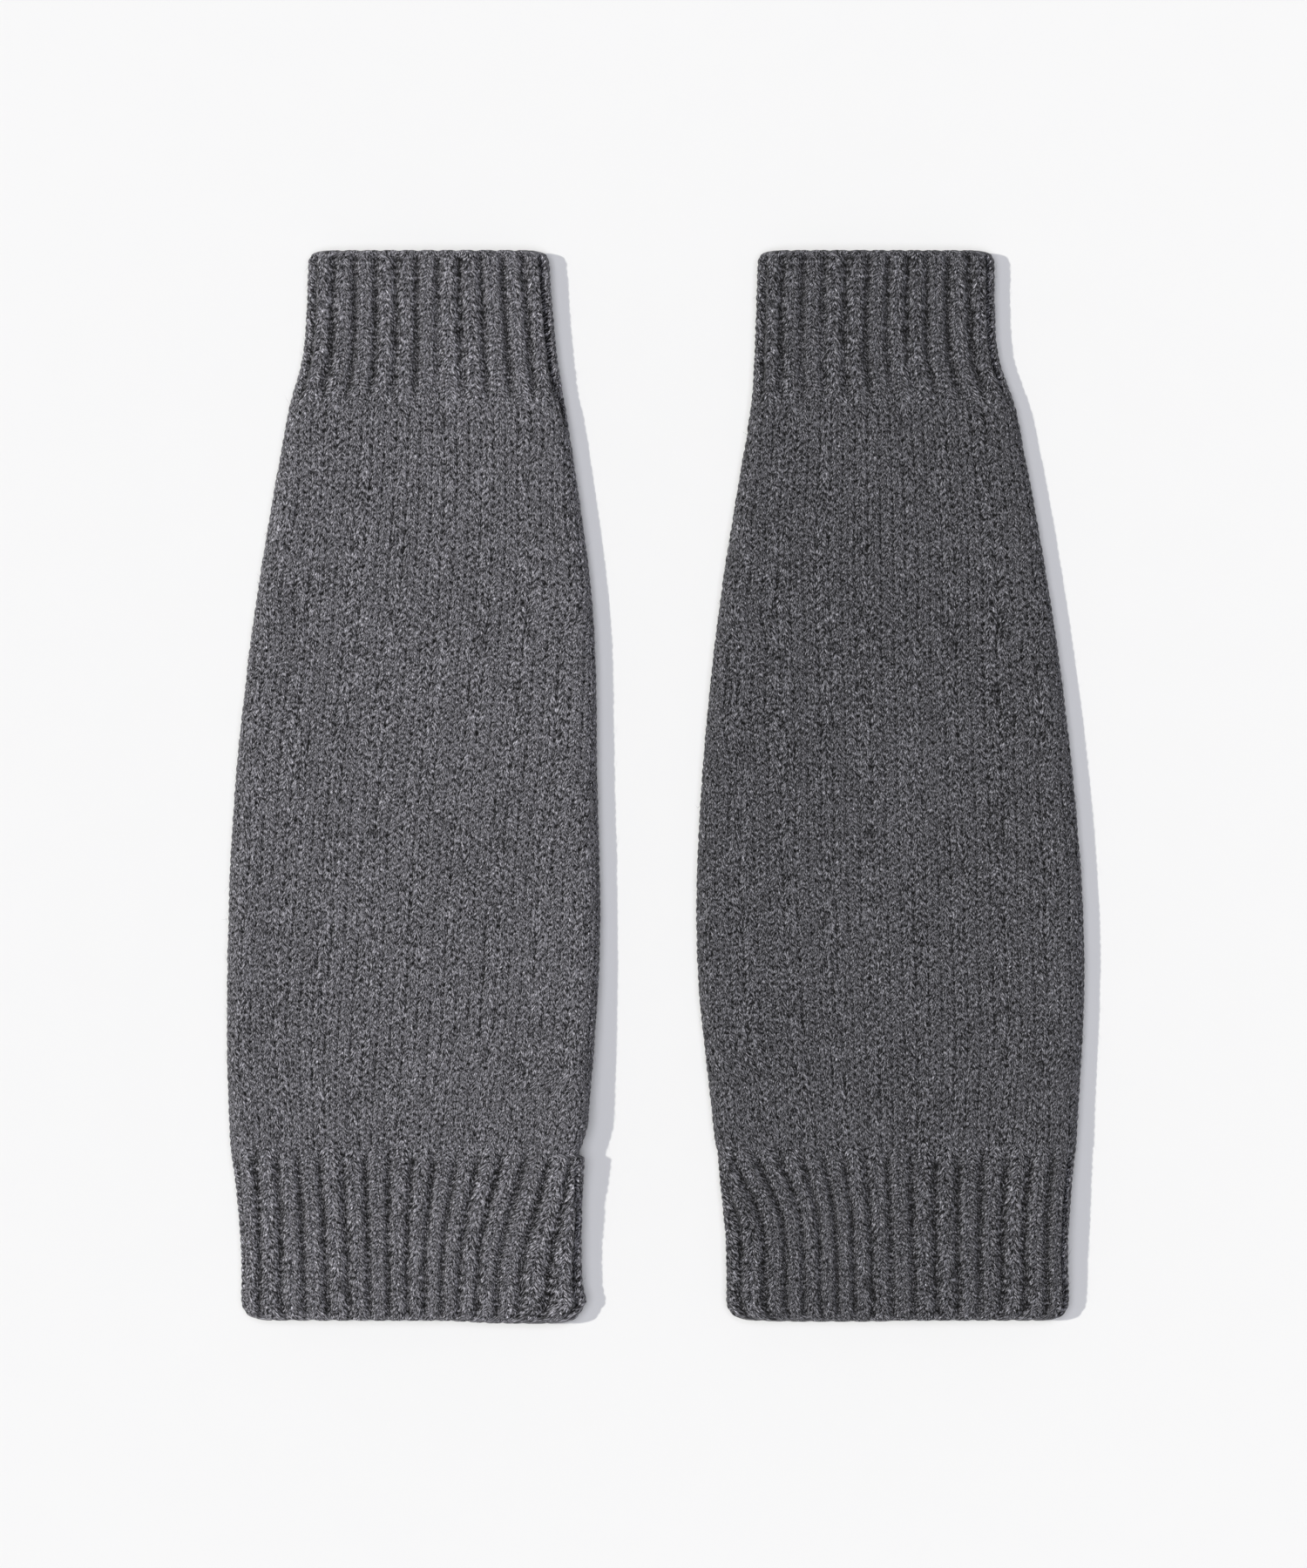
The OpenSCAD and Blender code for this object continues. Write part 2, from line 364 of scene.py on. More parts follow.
    def legs(self, u, v, width, course, lean, inset, half_w, half_l):
        """Height of the two slanting legs of each stitch, from 0 in the gaps to 1 on the yarn. u is in
        wales, a wale's middle being a whole number, and v is in courses. Each leg's middle lies inset
        wales from the wale's."""
        wale = np.round(u)
        off = u - wale
        right = (off > 0).astype(int)
        across = abs(off) * width
        sin, cos = math.sin(math.radians(lean)), math.cos(math.radians(lean))
        base = np.floor(v)
        best = np.zeros_like(u)
        for k in (-1, 0, 1):
            row = (base + k).astype(int)
            column = (wale * 2).astype(int) + right
            sideways, upward, plump = self.dice[:, row % DICE_SIZE, column % DICE_SIZE]
            x = across - width * inset + (sideways - 0.5) * LEG_STRAY[0]
            y = (v - base - k - 0.5) * course + (upward - 0.5) * LEG_STRAY[1]
            over = (x * cos - y * sin) / (half_w * (0.92 + 0.16 * plump))
            along = (x * sin + y * cos) / half_l
            height = np.sqrt(np.clip(1 - over**2 - along**2, 0, None))
            best = np.maximum(best, height * (0.86 + 0.14 * plump))
        return best

    def plain_height(self, u, v):
        """Height of the plain stitches, from 0 in the gaps to 1 on the yarn."""
        return self.legs(u, v, PLAIN_WALE, PLAIN_COURSE, PLAIN_LEAN, *PLAIN_LEG)

    def channel_fill(self, s, y):
        """How far the channels between ribs close up here and there."""
        most = mix(*CHANNEL_FILL, smooth_step(y / 40))
        return most * np.clip(0.1 + waves(s * 1.6, y * 0.6, 40, self.seed + 3), 0, 1.5)

    def rib_height(self, u, v, s, y):
        """Raised columns of knit stitches, and the purl stitches sunk between them."""
        rib = u / 2
        off = abs(rib - np.round(rib))
        edge = COLUMN_HALF + COLUMN_SCALLOP * np.cos(math.tau * (v + 0.3))
        inside = np.clip(1 - (off / edge) ** 2, 0, None) ** COLUMN_ROUNDING
        column = np.round(rib) + np.clip((rib - np.round(rib)) / RIB_SHARE, -0.499, 0.499)
        stitches = self.legs(column, v, COLUMN_WIDTH, RIB_COURSE, RIB_LEAN, *RIB_LEG)
        purl = PURL_HEIGHT * (0.5 + 0.5 * np.cos(math.tau * v)) * smooth_step((off - 0.3) / 0.12)
        raised = inside * (COLUMN_BODY + COLUMN_STITCH * stitches)
        return np.maximum(raised, purl + self.channel_fill(s, y))

    def stitches(self, s, y, layer, run):
        """Wale, course, relief below the outer face and the deepest that relief goes, at points of a
        layer."""
        u = self.wale(s, y, layer)
        v = self.course(s, y, run)
        past_hand = smooth_step((self.hand_rib_y + RIB_OVERLAP - y) / RIB_FADE)
        plain = past_hand * smooth_step((y - self.arm_rib_y + RIB_OVERLAP) / RIB_FADE)
        rib_depth = RIB_RELIEF * (1 - self.rib_height(u, v, s, y))
        plain_depth = PLAIN_RELIEF * (1 - self.plain_height(u, v))
        depth = mix(rib_depth, plain_depth, plain) + (self.crease(s, y) if layer > 0 else 0)
        return u, v, depth, mix(RIB_RELIEF, PLAIN_RELIEF, plain)


gloves = {side: Glove(side) for side in SIDES}


# ---------------- building a sheet of knitting

LIP_R = KNIT_T / 2              # radius of the lip that an edge turns over
NO_LIP = -9                     # the lip turn of a row that is on no lip
LIP_START, LIP_FADE = 0.9, 1.9  # how long before the lip the relief starts to fade, and over what
LIP_FLATTENING = 0.8            # share of the relief that is lost
INNER_BUMP = 0.25               # height of the purl bumps inside
INNER_LIFT = 0.4                # how far up the yarn the inner face is taken to be, which sets the painted shade it gets
BAKE_LOW, BAKE_HIGH = 0.002, 0.998      # span of a sheet's bake layout in the unit square
BAKE_OUTER, BAKE_INNER = 0.93, 0.94     # where its outer face ends, and its inner face starts


def span_of(glove, part):
    """Where a part starts and ends along the glove, from the hand towards the arm."""
    return {
        "hand_edge": (glove.hand_y, glove.hand_rim_y),
        "hand_cuff": (glove.hand_rim_y, glove.hand_rib_y),
        "body": (glove.hand_rib_y, glove.arm_rib_y),
        "arm_cuff": (glove.arm_rib_y, glove.arm_rim_y),
        "arm_edge": (glove.arm_rim_y, glove.arm_y),
    }[part]


def middle_line(glove, y):
    """The gap between two wales that parts the front's two halves."""
    return glove.lean(y) + glove.pitch(y) / 2


def across(glove, y, t, layer, half):
    """Distance along the cloth at share t of a layer, or of its left or right half."""
    start = middle_line(glove, y) if half == "right" else -glove.reach(y)
    end = middle_line(glove, y) if half == "left" else glove.reach(y)
    return mix(start, end, t)


def straight_path(glove, part, rows):
    """Rows of a flat part, with one more past each end. Each is y, lip turn and run. The turn is
    below nought before the lip."""
    y0, y1 = span_of(glove, part)
    t = np.arange(-1, rows + 2) / rows
    y = y0 + (y1 - y0) * t
    return y, np.full_like(y, NO_LIP), glove.hand_y - y


def lip_path(glove, part, rows):
    """Rows of an edge: out along the outer face, round the lip and back along the inner face."""
    y0, y1 = span_of(glove, part)
    out = 1 if part == "hand_edge" else -1
    base, end = (y1, y0) if out > 0 else (y0, y1)
    flat = abs(end - base) - LIP_R
    total = 2 * flat + math.pi * LIP_R
    way = np.arange(-1, rows + 2) * (total / rows)
    turn = np.minimum((way - flat) / LIP_R, math.pi)
    round_lip = LIP_R * np.sin(np.maximum(turn, 0))
    y = base + out * (np.minimum(way, flat) - np.clip(way - total + flat, 0, None) + round_lip)
    run = glove.hand_y - (base + out * way)
    return y, turn, run


def lattice(glove, part, layer, half, cols, rows):
    """The outer face's points, with one spare row and column all round, their stitch coordinates and
    how far up the yarn they lie."""
    path = lip_path if part.endswith("edge") else straight_path
    y, turn, run = path(glove, part, rows)
    out = 1 if part == "hand_edge" else -1
    t = np.arange(-1, cols + 2) / cols
    yy, tt = np.meshgrid(y, t, indexing="ij")
    turn, run = turn[:, None] + 0 * tt, run[:, None] + 0 * tt
    s = across(glove, yy, tt, layer, half)
    u, v, relief, deepest = glove.stitches(s, yy, layer, run)
    relief = relief * (1 - LIP_FLATTENING * smooth_step((turn + LIP_START) / LIP_FADE))
    turn = np.maximum(turn, 0)
    depth = LIP_R * (1 - np.cos(turn)) + (relief - PROUD) * np.cos(turn)
    points = glove.surface(s, yy, layer, depth)
    points[..., 1] -= out * relief * np.sin(turn)
    # the last, the lift, sets how much painted shade the material puts on each point
    return points, np.stack([u, v], axis=-1), 1 - relief / deepest


def inner_lattice(glove, part, layer, half, cols, rows):
    """The inner face: the same sheet seen from inside, with low purl bumps."""
    y = straight_path(glove, part, rows)[0][1:-1]
    yy, tt = np.meshgrid(y, np.arange(0, cols + 1) / cols, indexing="ij")
    s = across(glove, yy, tt, layer, half)
    u, v = glove.wale(s, yy, layer), glove.course(s, yy, glove.hand_y - yy)
    bumps = INNER_BUMP * np.cos(math.tau * v) * np.cos(math.pi * u) ** 2
    rim = np.minimum(np.minimum(tt, 1 - tt) * cols, 1)
    return glove.surface(s, yy, layer, KNIT_T - bumps * rim), np.stack([u, v], axis=-1)


def normals_of(points, layer):
    """Directions out of a layer, at each of a lattice's points but the spare ones."""
    down = points[2:, 1:-1] - points[:-2, 1:-1]
    right = points[1:-1, 2:] - points[1:-1, :-2]
    n = np.cross(down, right) * layer
    return n / np.maximum(np.linalg.norm(n, axis=-1, keepdims=True), 1e-9)


def grid_faces(rows, cols, start, flip):
    """The faces of a grid whose first vertex is start."""
    i, j = np.meshgrid(np.arange(rows), np.arange(cols), indexing="ij")
    a = (start + i * (cols + 1) + j).ravel()
    quads = np.stack([a, a + cols + 1, a + cols + 2, a + 1], axis=1)
    return quads[:, ::-1] if flip else quads


def border(rows, cols, start):
    """The vertices round a grid, in order."""
    at = start + np.arange((rows + 1) * (cols + 1)).reshape(rows + 1, cols + 1)
    return np.concatenate([at[0, :-1], at[:-1, -1], at[-1, :0:-1], at[:0:-1, 0]])


def rim_faces(fine, coarse, ratio, flip):
    """Triangles between two borders, the fine one having ratio vertices to each coarse one."""
    faces = []
    n = len(fine)
    for c in range(len(coarse)):
        here, after = coarse[c], coarse[(c + 1) % len(coarse)]
        for k in range(ratio):
            f = c * ratio + k
            faces.append((fine[f], fine[(f + 1) % n], here))
        faces.append((fine[(c + 1) * ratio % n], after, here))
    faces = np.array(faces)
    return faces[:, ::-1] if flip else faces


def knit_corners(knit, corners, starts, sizes):
    """Stitch coordinates at each face's corners, the wales counted on from the face's first corner, so
    that no face spans the place where the count starts again."""
    first = np.repeat(corners[starts], sizes)
    uv = knit[corners].copy()
    step = uv[:, 0] - knit[first, 0]
    uv[:, 0] = knit[first, 0] + step - np.round(step / 2) * 2
    return uv


def make_mesh(name, points, quads, triangles, knit, lift, normals, bake):
    """A mesh object with its stitch coordinates, its height over the gaps and its bake layout."""
    mesh = bpy.data.meshes.new(name)
    corners = np.concatenate([quads.ravel(), triangles.ravel()]).astype(np.int32)
    sizes = np.concatenate([np.full(len(quads), 4), np.full(len(triangles), 3)])
    starts = np.concatenate([[0], np.cumsum(sizes)[:-1]]).astype(np.int32)
    mesh.vertices.add(len(points))
    mesh.vertices.foreach_set("co", (points * MM).astype(np.float32).ravel())
    mesh.loops.add(len(corners))
    mesh.loops.foreach_set("vertex_index", corners)
    mesh.polygons.add(len(sizes))
    mesh.polygons.foreach_set("loop_start", starts)
    mesh.polygons.foreach_set("use_smooth", np.ones(len(sizes), bool))
    stitches = knit_corners(knit, corners, starts, sizes)
    for layer_name, uv in (("OFBake", bake[corners]), ("knit", stitches)):
        layer = mesh.uv_layers.new(name=layer_name)
        layer.data.foreach_set("uv", uv.astype(np.float32).ravel())
    lifts = mesh.attributes.new("lift", "FLOAT", "POINT")
    lifts.data.foreach_set("value", lift.astype(np.float32))
    mesh.update(calc_edges=True)
    mesh.validate()
    if normals is not None:
        mesh.normals_split_custom_set_from_vertices(normals.tolist())
    obj = bpy.data.objects.new(name, mesh)
    bpy.context.scene.collection.objects.link(obj)
    return obj


def bake_square(rows, cols, left=BAKE_LOW, right=BAKE_HIGH):
    """A grid laid out flat in the bake's unit square."""
    down = np.linspace(BAKE_HIGH, BAKE_LOW, rows + 1)
    v, u = np.meshgrid(down, np.linspace(left, right, cols + 1), indexing="ij")
    return np.stack([u.ravel(), v.ravel()], axis=1)


def cut(glove, part, half, detail):
    """Faces across a part of a layer."""
    width = glove.reach(sum(span_of(glove, part)) / 2) * (1 if half else 2)
    return width / PLAIN_WALE * detail[0]


def knitted_sheet(glove, part, layer, half, detail):
    """A closed sheet: its relief outside, its purl side inside, joined round its border."""
    y0, y1 = span_of(glove, part)
    plain = part == "body"
    course, ratio = (PLAIN_COURSE, PLAIN_RATIO) if plain else (RIB_COURSE, RIB_RATIO)
    cols = ratio * round(cut(glove, part, half, detail) / ratio)
    rows = ratio * round((y0 - y1) / course * detail[1] / ratio)
    inner_size = (rows // ratio, cols // ratio)
    points, knit, lift = lattice(glove, part, layer, half, cols, rows)
    normals = normals_of(points, layer).reshape(-1, 3)
    outer = points[1:-1, 1:-1].reshape(-1, 3)
    inner, inner_knit = inner_lattice(glove, part, layer, half, *inner_size[::-1])
    inner, inner_knit = inner.reshape(-1, 3), inner_knit.reshape(-1, 2)
    start, flip = len(outer), layer > 0
    rims = border(rows, cols, 0), border(*inner_size, start)
    return make_mesh(
        piece_name(glove, part, layer, half),
        np.concatenate([outer, inner]),
        np.concatenate([grid_faces(rows, cols, 0, not flip), grid_faces(*inner_size, start, flip)]),
        rim_faces(*rims, ratio, not flip),
        np.concatenate([knit[1:-1, 1:-1].reshape(-1, 2), inner_knit]),
        np.concatenate([lift[1:-1, 1:-1].ravel(), np.full(len(inner), INNER_LIFT)]),
        np.concatenate([normals, np.zeros_like(inner)]),
        np.concatenate([
            bake_square(rows, cols, right=BAKE_OUTER), bake_square(*inner_size, left=BAKE_INNER)
        ]),
    )


def side_triangles(column, flip):
    """Triangles that close one end of an edge's folded strip."""
    n = len(column) - 1
    faces = []
    for k in range(n // 2):
        a, b, c, d = column[k], column[n - k], column[n - k - 1], column[k + 1]
        faces.append((a, b, c))
        if c != d:
            faces.append((a, c, d))
    return np.array(faces)[:, ::-1] if flip else np.array(faces)


def knitted_edge(glove, part, layer, half, detail):
    """The rim of a cuff: ribs that run over the lip and back inside."""
    y0, y1 = span_of(glove, part)
    cols = round(cut(glove, part, half, detail))
    length = 2 * (y0 - y1 - LIP_R) + math.pi * LIP_R
    rows = 2 * round(length / RIB_COURSE * detail[1] / 2)
    out = 1 if part == "hand_edge" else -1
    flip = (layer > 0) == (out > 0)
    points, knit, lift = lattice(glove, part, layer, half, cols, rows)
    at = np.arange((rows + 1) * (cols + 1)).reshape(rows + 1, cols + 1)
    base = np.stack([at[0, :-1], at[0, 1:], at[-1, 1:], at[-1, :-1]], axis=1)
    return make_mesh(
        piece_name(glove, part, layer, half),
        points[1:-1, 1:-1].reshape(-1, 3),
        np.concatenate([grid_faces(rows, cols, 0, flip), base[:, ::-1] if flip else base]),
        np.concatenate([side_triangles(at[:, 0], flip), side_triangles(at[:, -1], not flip)]),
        knit[1:-1, 1:-1].reshape(-1, 2),
        lift[1:-1, 1:-1].ravel(),
        -out * normals_of(points, layer).reshape(-1, 3),
        bake_square(rows, cols),
    )


SEAM_HALF_W = 1.95              # half the width of the seam's strip
SEAM_GAP = 0.05                 # between the strip and the inside of the fold
SEAM_ROW, SEAM_COLS = 0.9, 14   # length of a row of its points, and points round it
SEAM_STITCH = (2.6, 0.14, 1.4)  # length of a binding stitch, its relief and its slant


def strip_faces(rows, cols):
    """The faces of a closed strip: round it, and over its two ends."""
    i, j = np.meshgrid(np.arange(rows), np.arange(cols), indexing="ij")
    here, after = i * cols + j, i * cols + (j + 1) % cols
    quads = np.stack([here, after, after + cols, here + cols], axis=-1)
    caps = [(0, k + 1, k) for k in range(1, cols - 1)]
    caps += [(rows * cols, rows * cols + k, rows * cols + k + 1) for k in range(1, cols - 1)]
    return quads.reshape(-1, 4), np.array(caps)


def seam_allowance(glove):
    """The seam inside the tube: a low strip along the inner fold, bound with slanting stitches."""
    side = SIDES.index(glove.side) * 2 - 1
    low, high = (c.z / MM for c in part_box(f"{glove.side}_side_seam"))
    start, end = glove.hand_rim_y - 0.5, glove.arm_rim_y + 0.5
    rows, cols = round((start - end) / SEAM_ROW), SEAM_COLS
    round_strip = np.arange(cols) / cols * math.tau
    y, turn = np.meshgrid(np.linspace(start, end, rows + 1), round_strip, indexing="ij")
    length, relief, slant = SEAM_STITCH
    stitch = 1 - relief * abs(np.sin((y + slant * np.cos(turn)) * math.pi / length))
    middle = glove.centre(y) - side * (glove.half(y) - glove.fold_z - SEAM_HALF_W - SEAM_GAP)
    half_h = (high - low) / 2
    x = middle + SEAM_HALF_W * np.cos(turn) * stitch
    z = low + half_h + half_h * np.sin(turn) * stitch + glove.curl(x - glove.centre(y), y)
    points = np.stack([x, y, z], axis=-1).reshape(-1, 3)
    knit = np.stack([turn.ravel(), (y / RIB_COURSE).ravel()], axis=1)
    bake = np.stack([(turn / math.tau).ravel(), (y / (start - end) + 0.5).ravel()], axis=1)
    name = f"{glove.side}_side_seam_strip"
    # a lift of 0.5 all over gives the strip an even, middling painted shade
    return make_mesh(name, points, *strip_faces(rows, cols), knit, np.full(len(points), 0.5), None, bake)


# ---------------- loose fibres

FIBRES = {"hand_cuff": 1500, "body": 6500, "arm_cuff": 2000}    # on each half of the front
BACK_FIBRES = 0.5       # as many on the whole back, as a share of those on half the front
FIBRE_SEED = 31
FIBRE_LENGTH = 1.7
FIBRE_RADIUS = 0.032
FIBRE_SPREAD = 0.45     # how far a fibre strays from its leg's slant, in radians
FIBRE_RISE = 0.5        # how steeply the steepest one stands, in radians
FIBRE_ROOT = 0.05       # how much deeper its root is than the relief under the CAD's face
FIBRE_FLOOR = 0.04      # how near the floor its middle may come
FIBRES_TO_A_FLECK = 2500
FLECK_SHADE = 2.08      # ordinary fibres go from 0, the darkest, to 1
FLECK_THICK, FLECK_LONG = 4, 0.4        # a fleck against an ordinary fibre
SPIKE_POINTS = 7
SPIKE_RINGS = ((0.0, 1.0), (0.5, 0.8))  # how far along a spike each ring is, and how thick


def bake_cells(n):
    """A cell of the bake's unit square for each fibre's points."""
    side = math.ceil(math.sqrt(n))
    cells = np.stack([np.arange(n) % side, np.arange(n) // side], axis=1)[:, None]
    base = [(0.15, 0.1), (0.05, 0.5), (0.15, 0.9)]
    spots = np.array(base + [(0.5, 0.1), (0.5, 0.5), (0.5, 0.9), (0.95, 0.5)])
    return ((cells + spots) / side).reshape(-1, 2)


def spikes(name, roots, ways, bends, radius, shade):
    """Fibres: each is a tapered three-sided spike that bends once on its way to its tip."""
    n = len(roots)
    way = ways / np.linalg.norm(ways, axis=1, keepdims=True)
    aside = np.cross(way, [0.0, 0.0, 1.0]) + 1e-6
    aside /= np.linalg.norm(aside, axis=1, keepdims=True)
    up = np.cross(aside, way)
    rings = []
    for share, thick in SPIKE_RINGS:
        middle = roots + ways * share + bends * (share * (1 - share) * 4)
        for k in range(3):
            a = math.tau * k / 3
            rings.append(middle + (aside * math.cos(a) + up * math.sin(a)) * radius[:, None] * thick)
    points = np.stack(rings + [roots + ways], axis=1)
    base = np.arange(n)[:, None] * SPIKE_POINTS
    quads = np.concatenate([base + np.array([k, 3 + k, 3 + (k + 1) % 3, (k + 1) % 3]) for k in range(3)])
    tips = [base + np.array([3 + k, 6, 3 + (k + 1) % 3]) for k in range(3)]
    triangles = np.concatenate(tips + [base + np.array([0, 1, 2])])
    shades = np.repeat(shade, SPIKE_POINTS)
    uv = np.stack([shades, np.tile(np.arange(SPIKE_POINTS) / SPIKE_POINTS, n)], axis=1)
    return make_mesh(name, points.reshape(-1, 3), quads, triangles, uv, shades, None, bake_cells(n))


def cloth_axes(glove, s, y, layer, relief):
    """The directions across the wales and out of the cloth, at points of a layer."""
    step = 0.2
    aside = glove.surface(s + step, y, layer, relief) - glove.surface(s - step, y, layer, relief)
    aside /= np.linalg.norm(aside, axis=1, keepdims=True)
    return aside, np.cross([0.0, -1.0, 0.0], aside) * layer


def leg_slant(u, part):
    """The slant of the stitch's leg at each place round the tube, in radians."""
    ribbed = part != "body"
    wale = u / 2 if ribbed else u
    return math.radians(RIB_LEAN if ribbed else PLAIN_LEAN) * np.sign(wale - np.round(wale))


def fibres(glove, part, layer, half, count):
    """Loose ends of wool that lie over the stitches, mostly along their legs."""
    rng = np.random.default_rng(glove.seed + FIBRE_SEED)
    y0, y1 = span_of(glove, part)
    y = rng.uniform(y1 + 0.3, y0 - 0.3, count)
    s = across(glove, y, rng.uniform(0.004, 0.996, count), layer, half)
    u, _, relief, _ = glove.stitches(s, y, layer, glove.hand_y - y)
    roots = glove.surface(s, y, layer, relief + FIBRE_ROOT)
    aside, normal = cloth_axes(glove, s, y, layer, relief)
    stray = rng.normal(0, FIBRE_SPREAD, count)
    angle = leg_slant(u, part) + stray + math.pi * (rng.random(count) < 0.5)
    flat = aside * np.sin(angle)[:, None] + np.array([0.0, -1.0, 0.0]) * np.cos(angle)[:, None]
    size = FIBRE_LENGTH * rng.lognormal(0, 0.35, count)
    tilt = FIBRE_RISE * rng.random(count)
    ways = (flat * np.cos(tilt)[:, None] + normal * np.sin(tilt)[:, None]) * size[:, None]
    swing = np.cross(normal, flat) * (rng.normal(0, 0.16, count) * size)[:, None]
    bends = swing + normal * (size * 0.07)[:, None]
    thick = FIBRE_RADIUS * rng.uniform(0.7, 1.2, count)
    shade = rng.random(count)
    flecks = count // FIBRES_TO_A_FLECK
    thick[:flecks] *= FLECK_THICK
    ways[:flecks] *= FLECK_LONG
    shade[:flecks] = FLECK_SHADE
    lowest = FIBRE_FLOOR - roots[:, 2]
    ways[:, 2] = np.maximum(ways[:, 2], lowest)
    bends[:, 2] = np.maximum(bends[:, 2], lowest - ways[:, 2] / 2)
    return spikes(piece_name(glove, part, layer, half, "fibres"), roots, ways, bends, thick, shade)


# ---------------- materials

# How far the wool's tone swings with its fibres along the legs, its fine ones and its strays, and the
# scale and swing of its blotches and clouds
RIB_SWINGS = (0.9, 5.2, 2.5)
PLAIN_SWINGS = (0.7, 4.5, 2.3)
BLOTCH = (170.0, 0.25)
CLOUD = (22.0, 0.16)
# Each kind of fibre, by its slant from the wale in degrees: how thin, short and wobbly it is
FINE_FIBRE, STRAY_FIBRE = (4.7, 1.15, 0.3), (4.0, 1.1, 0.3)
RIB_FIBRES = {30: (1.5, 0.5, 0.25), 24: FINE_FIBRE, 48: STRAY_FIBRE}
PLAIN_FIBRES = {20: (1.9, 0.5, 0.25), 14: FINE_FIBRE, 38: STRAY_FIBRE}
PAINTED_SHADE_GAP, PAINTED_SHADE_TOP = 0.27, 1.04     # painted shade: brightness in the gaps and up on the yarn
DARKEST = 0.15
PALE_FIBRE = 6.6                    # a fleck against the wool's colour


class Nodes:
    """The nodes of a material or a world, with short calls for the sums that a pattern needs."""

    def __init__(self, owner):
        owner.use_nodes = True
        self.owner = owner
        self.tree = owner.node_tree

    def put(self, socket, value):
        """Links a node's output to a socket, or sets the socket's own value."""
        if isinstance(value, bpy.types.NodeSocket):
            self.tree.links.new(value, socket)
        else:
            socket.default_value = value

    def add(self, kind, *values, **settings):
        """A new node, with its settings and its first sockets' values."""
        node = self.tree.nodes.new(kind)
        for key, value in settings.items():
            setattr(node, key, value)
        for socket, value in zip(node.inputs, values):
            self.put(socket, value)
        return node

    def sum(self, operation, *values):
        return self.add("ShaderNodeMath", *values, operation=operation).outputs[0]

    def noise(self, vector, scale, detail=2.0, distortion=0.0):
        node = self.add("ShaderNodeTexNoise", vector)
        for key, value in (("Scale", scale), ("Detail", detail), ("Distortion", distortion)):
            node.inputs[key].default_value = value
        return node.outputs[0]

    def turned(self, x, y, by_x, by_y):
        """The sum of x and y, each times its own factor."""
        return self.sum("ADD", self.sum("MULTIPLY", x, by_x), self.sum("MULTIPLY", y, by_y))

    def streaks(self, over, down, leg, lean, thin, short, wobble):
        """Fibres at an angle to the wale: thin is how many lie across a millimetre and short how many
        follow one another along it."""
        sin, cos = math.sin(math.radians(lean)), math.cos(math.radians(lean))
        across = self.turned(over, down, cos * thin, -sin * thin)
        along = self.turned(over, down, sin * short, cos * short)
        place = self.add("ShaderNodeCombineXYZ", across, along, leg).outputs[0]
        return self.noise(place, 1.0, 1, wobble)

    def remap(self, value, low, high, to_low, to_high, kind="LINEAR"):
        numbers = (value, low, high, to_low, to_high)
        return self.add("ShaderNodeMapRange", *numbers, interpolation_type=kind).outputs[0]

    def blend_tones(self, start, *layers):
        """A brightness factor: each layer's noise swings it evenly, as the eye sees it."""
        total = start
        for noise, strength in layers:
            swing = self.sum("MULTIPLY", self.sum("SUBTRACT", noise, 0.5), strength)
            total = self.sum("ADD", total, swing)
        return self.sum("POWER", self.sum("MAXIMUM", total, DARKEST), 2.2)

    def finish(self, colour, roughness, specular, **others):
        """Sets the surface's colour and gloss, and returns the material."""
        shader = self.tree.nodes["Principled BSDF"]
        looks = {"Base Color": colour, "Roughness": roughness, "Specular IOR Level": specular}
        for name, value in (looks | others).items():
            self.put(shader.inputs[name], value)
        return self.owner

    def scaled(self, colour, factor):
        node = self.add("ShaderNodeVectorMath", colour, operation="SCALE")
        self.put(node.inputs["Scale"], factor)
        return node.outputs[0]

    def split(self, vector):
        return self.add("ShaderNodeSeparateXYZ", vector).outputs

    def place(self):
        return self.add("ShaderNodeTexCoord").outputs["Object"]

    def lift(self):
        """How far up the yarn, from 0 in the gaps to 1, or a loose fibre's shade."""
        return self.add("ShaderNodeAttribute", attribute_name="lift").outputs["Fac"]


def fibre_streaks(n, ribbed):
    """Three noises of fibres: along each stitch's legs, finer ones, and strays across them."""
    u, v, _ = n.split(n.add("ShaderNodeUVMap", uv_map="knit").outputs[0])
    wale = n.sum("MULTIPLY", u, 0.5 if ribbed else 1.0)
    middle = n.sum("ROUND", wale)
    off = n.sum("SUBTRACT", wale, middle)
    over = n.sum("MULTIPLY", n.sum("ABSOLUTE", off), 2 * RIB_WALE if ribbed else PLAIN_WALE)
    down = n.sum("MULTIPLY", v, RIB_COURSE if ribbed else PLAIN_COURSE)
    leg = n.turned(middle, n.sum("SIGN", off), 7.3, 2.1)
    kinds = RIB_FIBRES if ribbed else PLAIN_FIBRES
    return [n.streaks(over, down, leg, slant, *look) for slant, look in kinds.items()]


def wool(name, colour, ribbed, contrast):
    """Grey melange wool: light and dark fibres that run along each stitch's legs, with stray fibres
    across them, and painted shade that darkens it down in the gaps between stitches."""
    n = Nodes(bpy.data.materials.new(name))
    noises = fibre_streaks(n, ribbed)
    swings = [s * contrast for s in (RIB_SWINGS if ribbed else PLAIN_SWINGS)]
    place = n.place()
    patches = [(n.noise(place, scale), swing) for scale, swing in (BLOTCH, CLOUD)]
    # painted shade: the wool is darkened down in the gaps, in the creases and on the inner face, by how
    # far up the yarn each point lies
    depth = n.remap(n.lift(), 0.0, 0.7, PAINTED_SHADE_GAP, PAINTED_SHADE_TOP, "SMOOTHSTEP")
    tone = n.blend_tones(depth, *zip(noises, swings), *patches)
    bump = n.add("ShaderNodeBump")
    bump.inputs["Strength"].default_value = 0.7
    bump.inputs["Distance"].default_value = 0.00035
    n.put(bump.inputs["Height"], n.sum("ADD", noises[0], n.sum("MULTIPLY", noises[1], 0.6)))
    others = {"Sheen Weight": 0.12, "Normal": bump.outputs[0]}
    return n.finish(n.scaled(colour, tone), 0.93, 0.18, **others)


